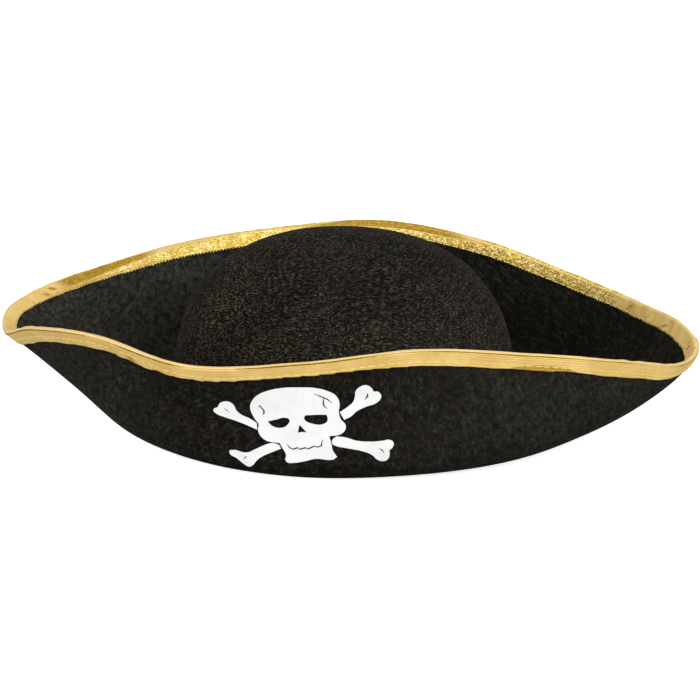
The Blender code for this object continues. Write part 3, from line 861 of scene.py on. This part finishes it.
def edge_loops(edge, before, along, material):
    """Small round loops of yarn along an edge, as flattened balls."""
    at = np.arange(0, along[-1], LOOP_PITCH)
    centre = along_line(at, along, edge)
    down = unit(centre - along_line(at, along, before))
    centre = centre + down * 0.2 * MM
    ahead = unit(np.gradient(centre, axis=0))
    out = unit(np.cross(ahead, down)) * LOOP_FLATNESS
    radius = LOOP_RADIUS * np.random.default_rng(29).uniform(0.8, 1.15, len(at))
    turn = turns_round(LOOP_SIDES)[:, None]
    tilt = (np.linspace(-1, 1, LOOP_RINGS + 2)[1:-1] * math.pi / 2)[:, None, None]
    per_ball = LOOP_RINGS * LOOP_SIDES + 2
    points, faces = [], []
    for i, middle in enumerate(centre):
        way = (ahead[i] * np.cos(turn) + down[i] * np.sin(turn)) * np.cos(tilt) + out[i] * np.sin(tilt)
        points.append(middle + radius[i] * np.concatenate([way.reshape(-1, 3), [-out[i], out[i]]]))
        first = i * per_ball
        last = first + (LOOP_RINGS - 1) * LOOP_SIDES
        faces += ring_quads(LOOP_RINGS, LOOP_SIDES, first)
        for side in range(LOOP_SIDES):
            after = (side + 1) % LOOP_SIDES
            faces.append((first + after, first + side, first + per_ball - 2))
            faces.append((last + side, last + after, first + per_ball - 1))
    # The loops glint, and lie lower than the ribbon's own inner edge
    place = stack(np.repeat(at / MM, per_ball), -12, 1)
    return make_mesh("ribbon_edge_loops", np.concatenate(points), faces, {"ribbon": place}, material)


# ---- Stitches ----

THREAD = 0.32 * MM
THREAD_SIDES = 6
STITCH_RINGS = 7
# How closely the lines of stitches follow the rim and the head opening
TRIM_TURNS = 1400
HEAD_TURNS = 500
# How high the tack's thread stands on the ribbon's lapped ends
TACK_LIFT = 0.3 * MM
TACK_POINTS = 6


def stitch_line(name, points, normals, pitch, gap, material, closed=False):
    """Separate stitches along a line: each rises from the cloth, runs over it and goes back in."""
    if closed:
        points = np.concatenate([points, points[:1]])
        normals = np.concatenate([normals, normals[:1]])
    run = lengths(points)
    count = max(1, round(run[-1] / pitch))
    pitch = run[-1] / count
    rng = np.random.default_rng(len(name) * 7 + count)
    coords, faces, place = [], [], []
    share = np.linspace(0, 1, STITCH_RINGS)
    rise = np.sin(share * math.pi) ** 0.5
    turn = turns_round(THREAD_SIDES)
    for i in range(count):
        start = i * pitch + gap * (0.5 + 0.4 * rng.uniform(-1, 1))
        end = (i + 1) * pitch - gap * (0.5 + 0.4 * rng.uniform(-1, 1))
        at = start + (end - start) * share
        normal = unit(along_line(at, run, normals))
        centre = along_line(at, run, points) + normal * ((rise - 0.75) * THREAD)[:, None]
        side = unit(np.cross(unit(np.gradient(centre, axis=0)), normal))
        sway = THREAD * 0.5 * rng.uniform(-1, 1) * (share - 0.5)
        thick = THREAD * (0.55 + 0.45 * rise)
        centre = centre + side * sway[:, None]
        round_it = side[:, None] * np.cos(turn)[:, None] + normal[:, None] * np.sin(turn)[:, None]
        coords.append((centre[:, None] + round_it * thick[:, None, None]).reshape(-1, 3))
        place.append(stack((at / MM)[:, None], turn, 0).reshape(-1, 3))
        first = i * STITCH_RINGS * THREAD_SIDES
        after = first + STITCH_RINGS * THREAD_SIDES
        faces += ring_quads(STITCH_RINGS, THREAD_SIDES, first)
        faces.append(tuple(reversed(range(first, first + THREAD_SIDES))))
        faces.append(tuple(range(after - THREAD_SIDES, after)))
    return make_mesh(name, np.concatenate(coords), faces, {"thread": np.concatenate(place)}, material)


def trim_stitches(material):
    """Stitches along both sides of the ribbon, with the node that each line stands for."""
    angle = turns_round(TRIM_TURNS)
    pieces = []
    for key, (facing, _, depth, _, _) in (("outer", OUTSIDE), ("inner", INSIDE)):
        points, normals = wall_frame(angle, depth)
        normals = normals[:, 0] * facing
        line = points[:, 0] + normals * (FOLD_RADIUS + RIBBON / 2 - 0.1 * MM)
        stitches = stitch_line("stitches_trim_" + key, line, normals, 4.6 * MM, 0.5 * MM, material, True)
        pieces.append((stitches, "trim_thread_" + key))
    return pieces


def make_tack(material):
    """The few stitches over the ribbon's join, down its inner side."""
    depth = np.linspace(1.6, 5.2, TACK_POINTS)[:, None] * MM
    points, normals = wall_frame(np.full(TACK_POINTS, RIBBON_JOIN + math.radians(0.4)), depth)
    normals = -normals[:, 0]
    line = points[:, 0] + normals * (FOLD_RADIUS + RIBBON * 1.5 + TACK_LIFT)
    return stitch_line("stitches_trim_join", line, normals, 1.9 * MM, 0.2 * MM, material)


# ---- Emblem ----

# Outlines of the emblem's pieces, in millimetres from the emblem's centre, as seen from the front.
# They are smooth curves, apart from the points marked as corners.
CORNER = "VECTOR"
SKULL = [
    (-24.5, 8), (-23, 12), (-19.5, 15.5), (-14.5, 18), (-7.5, 20), (1, 21), (9, 21), (15, 19.5),
    (19, 17), (20.5, 13), (20, 8.5), (21, 4.5), (23, 2), (23, -0.5), (21, -3), (15, -4.5, CORNER),
    (16, -9), (16.5, -12), (18.5, -15.5, CORNER), (16.5, -17), (8, -17), (3, -18.5), (-3, -20),
    (-6.5, -20), (-7.5, -18.5, CORNER), (-7, -16), (-9, -12), (-10, -10, CORNER), (-16.5, -9.5),
    (-19.5, -7.5), (-21, -4), (-20.5, -1), (-22.5, 2)]
LEFT_EYE = [(-16, 1, CORNER), (-11.5, 2.5), (-6, 4), (-4.5, 3), (-5.5, 0.5), (-8, -1.5), (-13, -1.5)]
RIGHT_EYE = [(3.5, 6), (6, 6.5), (14, 7, CORNER), (14.5, 4.5), (13.5, 2.5), (6, 2), (3, 4)]
NOSE = [(0.5, 1, CORNER), (4, -3, CORNER), (1.5, -3, CORNER), (-0.5, -3.5, CORNER)]
BONES = {
    "upper_left": [
        (-44, 4), (-41.5, 6, CORNER), (-40.5, 8), (-38, 9.5), (-35, 9.5), (-33, 8), (-32, 5.5),
        (-29, 3), (-25, 1.5), (-21.5, -0.5, CORNER), (-21.5, -4, CORNER), (-25.5, -2.5),
        (-32, -0.5), (-38.5, 1), (-42, 2)],
    "upper_right": [
        (20.5, 8.5, CORNER), (24.5, 11.5), (27, 14), (28, 17), (28.5, 20), (30.5, 22), (33.5, 23),
        (36, 21.5), (37, 19.5, CORNER), (39, 19.5), (40.5, 17.5), (40, 15.5), (38, 13.5),
        (33, 11.5), (28.5, 9), (26, 6.5), (22.5, 4.5, CORNER)],
    "lower_left": [
        (-36.5, -17.5), (-35, -16.5), (-27.5, -17), (-22.5, -14.5), (-18, -12), (-14, -10.5),
        (-10.5, -11, CORNER), (-9.5, -13, CORNER), (-13.5, -15), (-20.5, -19), (-22.5, -21),
        (-24.5, -23.5), (-26.5, -24.5), (-29.5, -23), (-32, -21)],
    "lower_right": [
        (16.5, -6.5), (18.5, -4.5, CORNER), (23, -5), (28, -6.5), (33, -7), (41, -6.5), (44, -6),
        (46, -7.5), (45.5, -10), (44, -11.5, CORNER), (44, -14), (43, -16.5), (40.5, -17.5),
        (38, -16.5), (35.5, -14), (32.5, -12.5), (23, -10.5), (18, -9.5), (16.5, -8.5)],
}
# Thin cuts: the skull's teeth and cracks, and the ticks at the bones' ends
SKULL_CUTS = [
    ([(-6.5, -10), (-5, -12), (-3.5, -12.7), (-1.5, -12), (-1, -11.5), (0, -12.5), (3, -11.3),
      (4.4, -11.8), (7.5, -10.2), (9, -10.7), (11, -9.8), (11.6, -6.5)], 0.8),
    ([(-20.2, 8.3), (-19.2, 9.4), (-18.8, 8.3), (-17.5, 6.8), (-17.4, 5.5), (-18.1, 4.4)], 0.9),
    ([(8, 18), (11.5, 16.6), (13, 16), (14.7, 15.2), (17, 13.2)], 0.75),
    ([(12.9, 15.9), (12.6, 13), (13, 11.5), (14.5, 10.2)], 0.8),
]
BONE_CUTS = {
    "upper_left": ([(-38.2, 6), (-37, 4.9), (-35.3, 3.6)], 0.65),
    "upper_right": ([(34.1, 18.7), (33.9, 17), (32.8, 15.4)], 0.9),
    "lower_left": ([(-27.6, -18.8), (-28.8, -20.7)], 1.2),
    "lower_right": ([(39, -10.6), (40.3, -11.2), (41.4, -13)], 0.75),
}
FILM = 0.35 * MM
FILM_LIFT = 0.12 * MM
# Grid inside the film, how near the border it may come, as a share of its step, and how close two
# of the film's points may be, in millimetres
FILM_GRID = 1.6
FILM_MARGIN = 0.35
FILM_MERGE = 0.02


def cut_outline(line, width):
    """Narrow closed outline round a broken line, narrower at both ends."""
    line = np.array(line, float)
    ahead = unit(np.gradient(line, axis=0))
    thick = np.full((len(line), 1), width / 2)
    thick[[0, -1]] = width / 5
    side = np.stack([-ahead[:, 1], ahead[:, 0]], -1) * thick
    return np.concatenate([line + side, (line - side)[::-1]])


def rounded(outline):
    """Points along a smooth closed curve through an outline's corners."""
    curve = bpy.data.curves.new("outline", "CURVE")
    curve.resolution_u = 6
    spline = curve.splines.new("BEZIER")
    spline.bezier_points.add(len(outline) - 1)
    for handle, (x, z, *corner) in zip(spline.bezier_points, outline):
        handle.co = (x, z, 0)
        handle.handle_left_type = corner[0] if corner else "AUTO"
        handle.handle_right_type = handle.handle_left_type
    spline.use_cyclic_u = True
    drawn = show("outline", curve)
    mesh = final_mesh(drawn)
    points = np.array([vertex.co[:2] for vertex in mesh.vertices])
    bpy.data.objects.remove(drawn)
    bpy.data.curves.remove(curve)
    bpy.data.meshes.remove(mesh)
    return points


def inside(points, outline):
    """Whether each point lies inside a closed outline, by the sides that lie to its right."""
    x, y = points[:, :1], points[:, 1:]
    ax, ay = outline.T
    bx, by = np.roll(ax, -1), np.roll(ay, -1)
    level = (ay > y) != (by > y)
    rise = np.where(by == ay, 1, by - ay)
    crossing = level & (x < (bx - ax) * (y - ay) / rise + ax)
    return crossing.sum(1) % 2 == 1


def film_piece(name, outline, holes, brim_tree, material):
    """Film cut to an outline, with holes, and laid on the front of the brim."""
    points, edges = [], []
    for line in [outline] + holes:
        first = len(points)
        points += line.tolist()
        edges += [(first + i, first + (i + 1) % len(line)) for i in range(len(line))]
    border = np.array(points)
    (left, low), (right, high) = outline.min(0), outline.max(0)
    grid = np.meshgrid(np.arange(left, right, FILM_GRID), np.arange(low, high, FILM_GRID))
    for point in np.stack(grid, -1).reshape(-1, 2):
        if np.abs(border - point).max(1).min() > FILM_GRID * FILM_MARGIN:
            points.append(point.tolist())
    cut = delaunay_2d_cdt([Vector(point) for point in points], edges, [], 0, FILM_MERGE)
    corners = np.array([point[:] for point in cut[0]])
    triangles = np.array(cut[2])
    middles = corners[triangles].mean(1)
    kept = inside(middles, outline)
    for hole in holes:
        kept &= ~inside(middles, hole)
    used, triangles = np.unique(triangles[kept], return_inverse=True)
    places = []
    for x, z in corners[used]:
        start = Vector((EMBLEM_X + x * MM, -2 * BRIM_HALF_DEPTH, EMBLEM_Z + z * MM))
        hit, normal, _, _ = brim_tree.ray_cast(start, Vector((0, 1, 0)))
        places.append(hit + normal * (FILM_LIFT + FILM / 2))
    piece = show(name, plain_mesh(name, places, triangles.reshape(-1, 3).tolist(), material))
    solid = piece.modifiers.new("thickness", "SOLIDIFY")
    solid.thickness = FILM
    solid.offset = 0
    solid.use_even_offset = False
    piece.data = final_mesh(piece)
    piece.modifiers.clear()
    piece.data.set_sharp_from_angle(angle=math.radians(40))
    return piece


def make_emblem(brim, material):
    """The skull and the four bone ends, with the node that each stands for."""
    tree = BVHTree.FromObject(brim, bpy.context.evaluated_depsgraph_get())
    holes = [rounded(hole) for hole in (LEFT_EYE, RIGHT_EYE, NOSE)]
    holes += [cut_outline(*cut) for cut in SKULL_CUTS]
    pieces = [(film_piece("film_skull", rounded(SKULL), holes, tree, material), "emblem_skull")]
    for key, outline in BONES.items():
        tick = cut_outline(*BONE_CUTS[key])
        bone = film_piece("film_bone_" + key, rounded(outline), [tick], tree, material)
        pieces.append((bone, "emblem_bone_" + key))
    return pieces


# ---- Head opening ----

BAND_STEPS = 480
BAND = 0.9 * MM
BAND_INSET = 2 * FELT + COLLAR_GAP + 0.8 * MM
BAND_FACE = BAND_INSET + BAND / 2
# Half the slit between the band's ends, and how deep its hem's rows reach
BAND_SLIT = 0.15 * MM
HEM_DEPTH = 4 * MM
JOIN_POINTS = 12
LABEL = 0.35 * MM
LABEL_STEPS = 26
LABEL_ROWS = 24
LABEL_GAP = 0.35 * MM
# The label's width
LABEL_WIDTH = 0.02


def make_band(material):
    """Upright twill tape round the opening, hemmed along its top edge."""
    half_slit = BAND_SLIT / CROWN_HALF_WIDTH
    angle = math.pi / 2 + np.linspace(half_slit, TAU - half_slit, BAND_STEPS)
    top = band_high.z
    z = np.concatenate([np.linspace(band_low.z, top - HEM_DEPTH, 10),
                        np.linspace(top - 0.9 * HEM_DEPTH, top, 6)])
    foot = base_oval(angle, BAND_INSET)
    grid = foot[:, None] + stack(0, 0, z)
    inward = -unit(foot * np.array([1, 1, 0]))[:, None]
    hem = 0.12 * MM * bell(z, top - 1.8 * MM, 1.2 * MM)
    sway = 0.10 * MM * (1 + uneven(grid, 14 * MM, 31)) * ramp(z, 8 * MM, 10 * MM)
    grid = grid + inward * (hem + sway)[..., None]
    cloth = stack(lengths(foot)[:, None], z, 0) / MM
    return shell("tape_sweatband", grid, BAND, False, {"cloth": cloth}, material)


def inwards(angle):
    """Level direction from the crown's base oval into the opening."""
    return unit(base_oval(angle, MM) - base_oval(angle))


def make_head_stitches(material):
    """Stitches outside the crown's base, round the sweatband, up its join and across the label."""
    full_turn = turns_round(HEAD_TURNS)
    back = np.full(JOIN_POINTS, math.pi / 2)
    half = 0.4 * (label_high.x - label_low.x) / CROWN_HALF_DEPTH
    label = LABEL_ANGLE + np.linspace(-half, half, 9)
    # Piece and node, angles, how far inside the crown's base, heights, the stitches' pitch and gap
    # (these two in mm), the way they face, and whether they go all round
    lines = [
        ("crown_seam", "crown_seam_thread", full_turn, -0.1 * MM, 5 * MM, 3.4, 0.7, -1, True),
        ("sweatband", "sweatband_thread", full_turn, BAND_FACE + 0.15 * MM, 5 * MM, 3.2, 0.6, 1, True),
        ("band_join", "sweatband_join_thread", back, BAND_FACE + 0.3 * MM,
         np.linspace(7 * MM, 27 * MM, JOIN_POINTS), 2.4, 0.5, 1, False),
        ("label", "care_label_thread", label, BAND_FACE + LABEL + 0.5 * MM, 10 * MM, 2.2, 0.45, 1, False),
    ]
    pieces = []
    for key, node, angle, inset, z, pitch, gap, facing, closed in lines:
        points = base_oval(angle, inset) + stack(0, 0, z)
        stitches = stitch_line("stitches_" + key, points, inwards(angle) * facing, pitch * MM, gap * MM,
                               material, closed)
        pieces.append((stitches, node))
    return pieces


def make_label(material):
    """Blank satin label, sewn at its lower end to the sweatband, with its free end curling out a little."""
    half = LABEL_WIDTH / 2 / CROWN_HALF_DEPTH
    angle = LABEL_ANGLE + np.linspace(-half, half, LABEL_STEPS)
    z = np.linspace(label_low.z, label_high.z, LABEL_ROWS)
    grid = base_oval(angle, BAND_FACE + LABEL_GAP + LABEL / 2)[:, None] + stack(0, 0, z)
    curl = 0.5 * MM * ramp(z, 10 * MM, 17 * MM) ** 2
    ripple = bumps(grid, (0.12, 9, 41)) * (curl > 0)
    grid = grid + inwards(angle)[:, None] * (curl + ripple)[..., None]
    cloth = stack(np.linspace(0, LABEL_WIDTH / MM, LABEL_STEPS)[:, None], z / MM, 0)
    return shell("label_blank", grid, LABEL, False, {"cloth": cloth}, material)


# ---- Putting it together ----

def settle(slot, *pieces):
    """Hang pieces on the root body and hide the CAD parts of the nodes they stand for. slot is not used."""
    for piece, node in pieces:
        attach(piece, "root")
        if node:
            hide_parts(node)


def flat_extent(line):
    """Width and depth of a flat closed outline, and its area, in metres."""
    width, depth = (line.max(0) - line.min(0))[:2]
    x, y = line[:, 0], line[:, 1]
    area = abs(np.sum(x * np.roll(y, -1) - y * np.roll(x, -1))) / 2
    return float(width), float(depth), float(area)


def declare_sheets(brim_place):
    """Work out the flat width, depth and area of the brim's cut sheet, the area of its hole and the size of
    each film piece, and keep none of them.
    """
    width, depth, area = flat_extent(brim_place[:, -1])
    hole = flat_extent(brim_place[:, 0])[2]
    for name, outline in {"film_skull": SKULL, **{"film_bone_" + key: BONES[key] for key in BONES}}.items():
        width, height, area = flat_extent(rounded(outline) * MM)


def build_hat():
    gold_thread = make_thread("gold_thread", (0.80, 0.56, 0.1), (0.97, 0.78, 0.29), 0.35, 0.25)
    black_thread = make_thread("black_thread", (0.006, 0.006, 0.006), (0.03, 0.03, 0.03), 0.55, 0.0)
    settle("crown_felt", (make_crown(make_crown_felt()), "crown"))
    brim, brim_place = make_brim(make_brim_felt())
    settle("brim_felt", (brim, "brim"))
    ribbon, loops, ribbon_length = make_ribbon(make_ribbon_cloth())
    settle("gold_ribbon", (ribbon, "trim_ribbon"), (loops, None))
    settle("gold_thread", *trim_stitches(gold_thread))
    settle("white_film", *make_emblem(brim, make_film()))
    settle("band_fabric", (make_band(make_band_cloth()), "sweatband"))
    settle("black_thread", *make_head_stitches(black_thread))
    settle("label_satin", (make_label(make_label_satin()), "care_label"))
    settle("black_thread", (make_tack(black_thread), "trim_join_thread"))
    declare_sheets(brim_place)


# ---- Stage: floor, light and camera ----

FLOOR_REACH = 6.0
FLOOR_HEIGHT = -0.5 * MM
HAT_MIDDLE = Vector((0, 0, 0.04))


def make_floor():
    sides = [(-1, -1), (1, -1), (1, 1), (-1, 1)]
    corners = [(x * FLOOR_REACH, y * FLOOR_REACH, FLOOR_HEIGHT) for x, y in sides]
    nodes = new_material("studio_floor")
    seen = nodes.value("LightPath", {}, "Is Camera Ray")
    tint = seen.mix((0.62, 0.62, 0.62), (0.9, 0.9, 0.9))
    material = nodes.finish(Base_Color=tint, Roughness=0.9, Emission_Color=(1, 1, 1),
                            Emission_Strength=seen * 0.8)
    show("studio_floor", plain_mesh("studio_floor", corners, [(0, 1, 2, 3)], material))


def area_light(name, place, size, power):
    """A round light that faces the middle of the hat."""
    light = bpy.data.lights.new(name, "AREA")
    light.shape = "DISK"
    light.size = size
    light.energy = power
    lamp = show(name, light)
    lamp.location = place
    lamp.rotation_euler = (HAT_MIDDLE - lamp.location).to_track_quat("-Z", "Y").to_euler()


def make_light():
    """A white world, brighter to the camera than to the hat, and four soft lights."""
    world = bpy.data.worlds.new("studio")
    bpy.context.scene.world = world
    nodes = Nodes(world)
    seen = nodes.value("LightPath", {}, "Is Camera Ray")
    strength = nodes.value("MapRange", {"Value": seen, "To Min": 0.5, "To Max": 1.1})
    background = nodes.tree.nodes["Background"]
    nodes.put(background.inputs["Strength"], strength)
    nodes.put(background.inputs["Color"], (1, 1, 1))
    area_light("key", (1.5, -0.9, 1.0), 1.2, 22)
    area_light("fill", (-1.5, -1.0, 0.8), 1.6, 22)
    area_light("front", (0.3, -1.6, 1.0), 0.5, 6)
    area_light("back", (0.2, 1.4, 1.3), 1.4, 4)


CAMERA_ELEVATION = math.radians(15.79)
CAMERA_YAW = math.radians(10.06)
CAMERA_DISTANCE = 1.300
CAMERA_LENS = 125.44
CAMERA_SENSOR = 36
CAMERA_TARGET = Vector((0, 0, 0.0385))
AIM_RIGHT = 2.8 * MM
AIM_UP = -2.66 * MM


def make_camera():
    lens = bpy.data.cameras.new("camera")
    lens.lens = CAMERA_LENS
    lens.sensor_width = CAMERA_SENSOR
    camera = show("camera", lens)
    level = math.cos(CAMERA_ELEVATION)
    back = Vector((math.sin(CAMERA_YAW) * level, -math.cos(CAMERA_YAW) * level, math.sin(CAMERA_ELEVATION)))
    right = Vector((math.cos(CAMERA_YAW), math.sin(CAMERA_YAW), 0))
    up = right.cross(-back)
    camera.location = CAMERA_TARGET + back * CAMERA_DISTANCE
    aim = CAMERA_TARGET + right * AIM_RIGHT + up * AIM_UP
    camera.rotation_euler = (aim - camera.location).to_track_quat("-Z", "Y").to_euler()
    bpy.context.scene.camera = camera


make_camera()
build_hat()
make_floor()
make_light()
bpy.context.scene.view_settings.view_transform = "Standard"
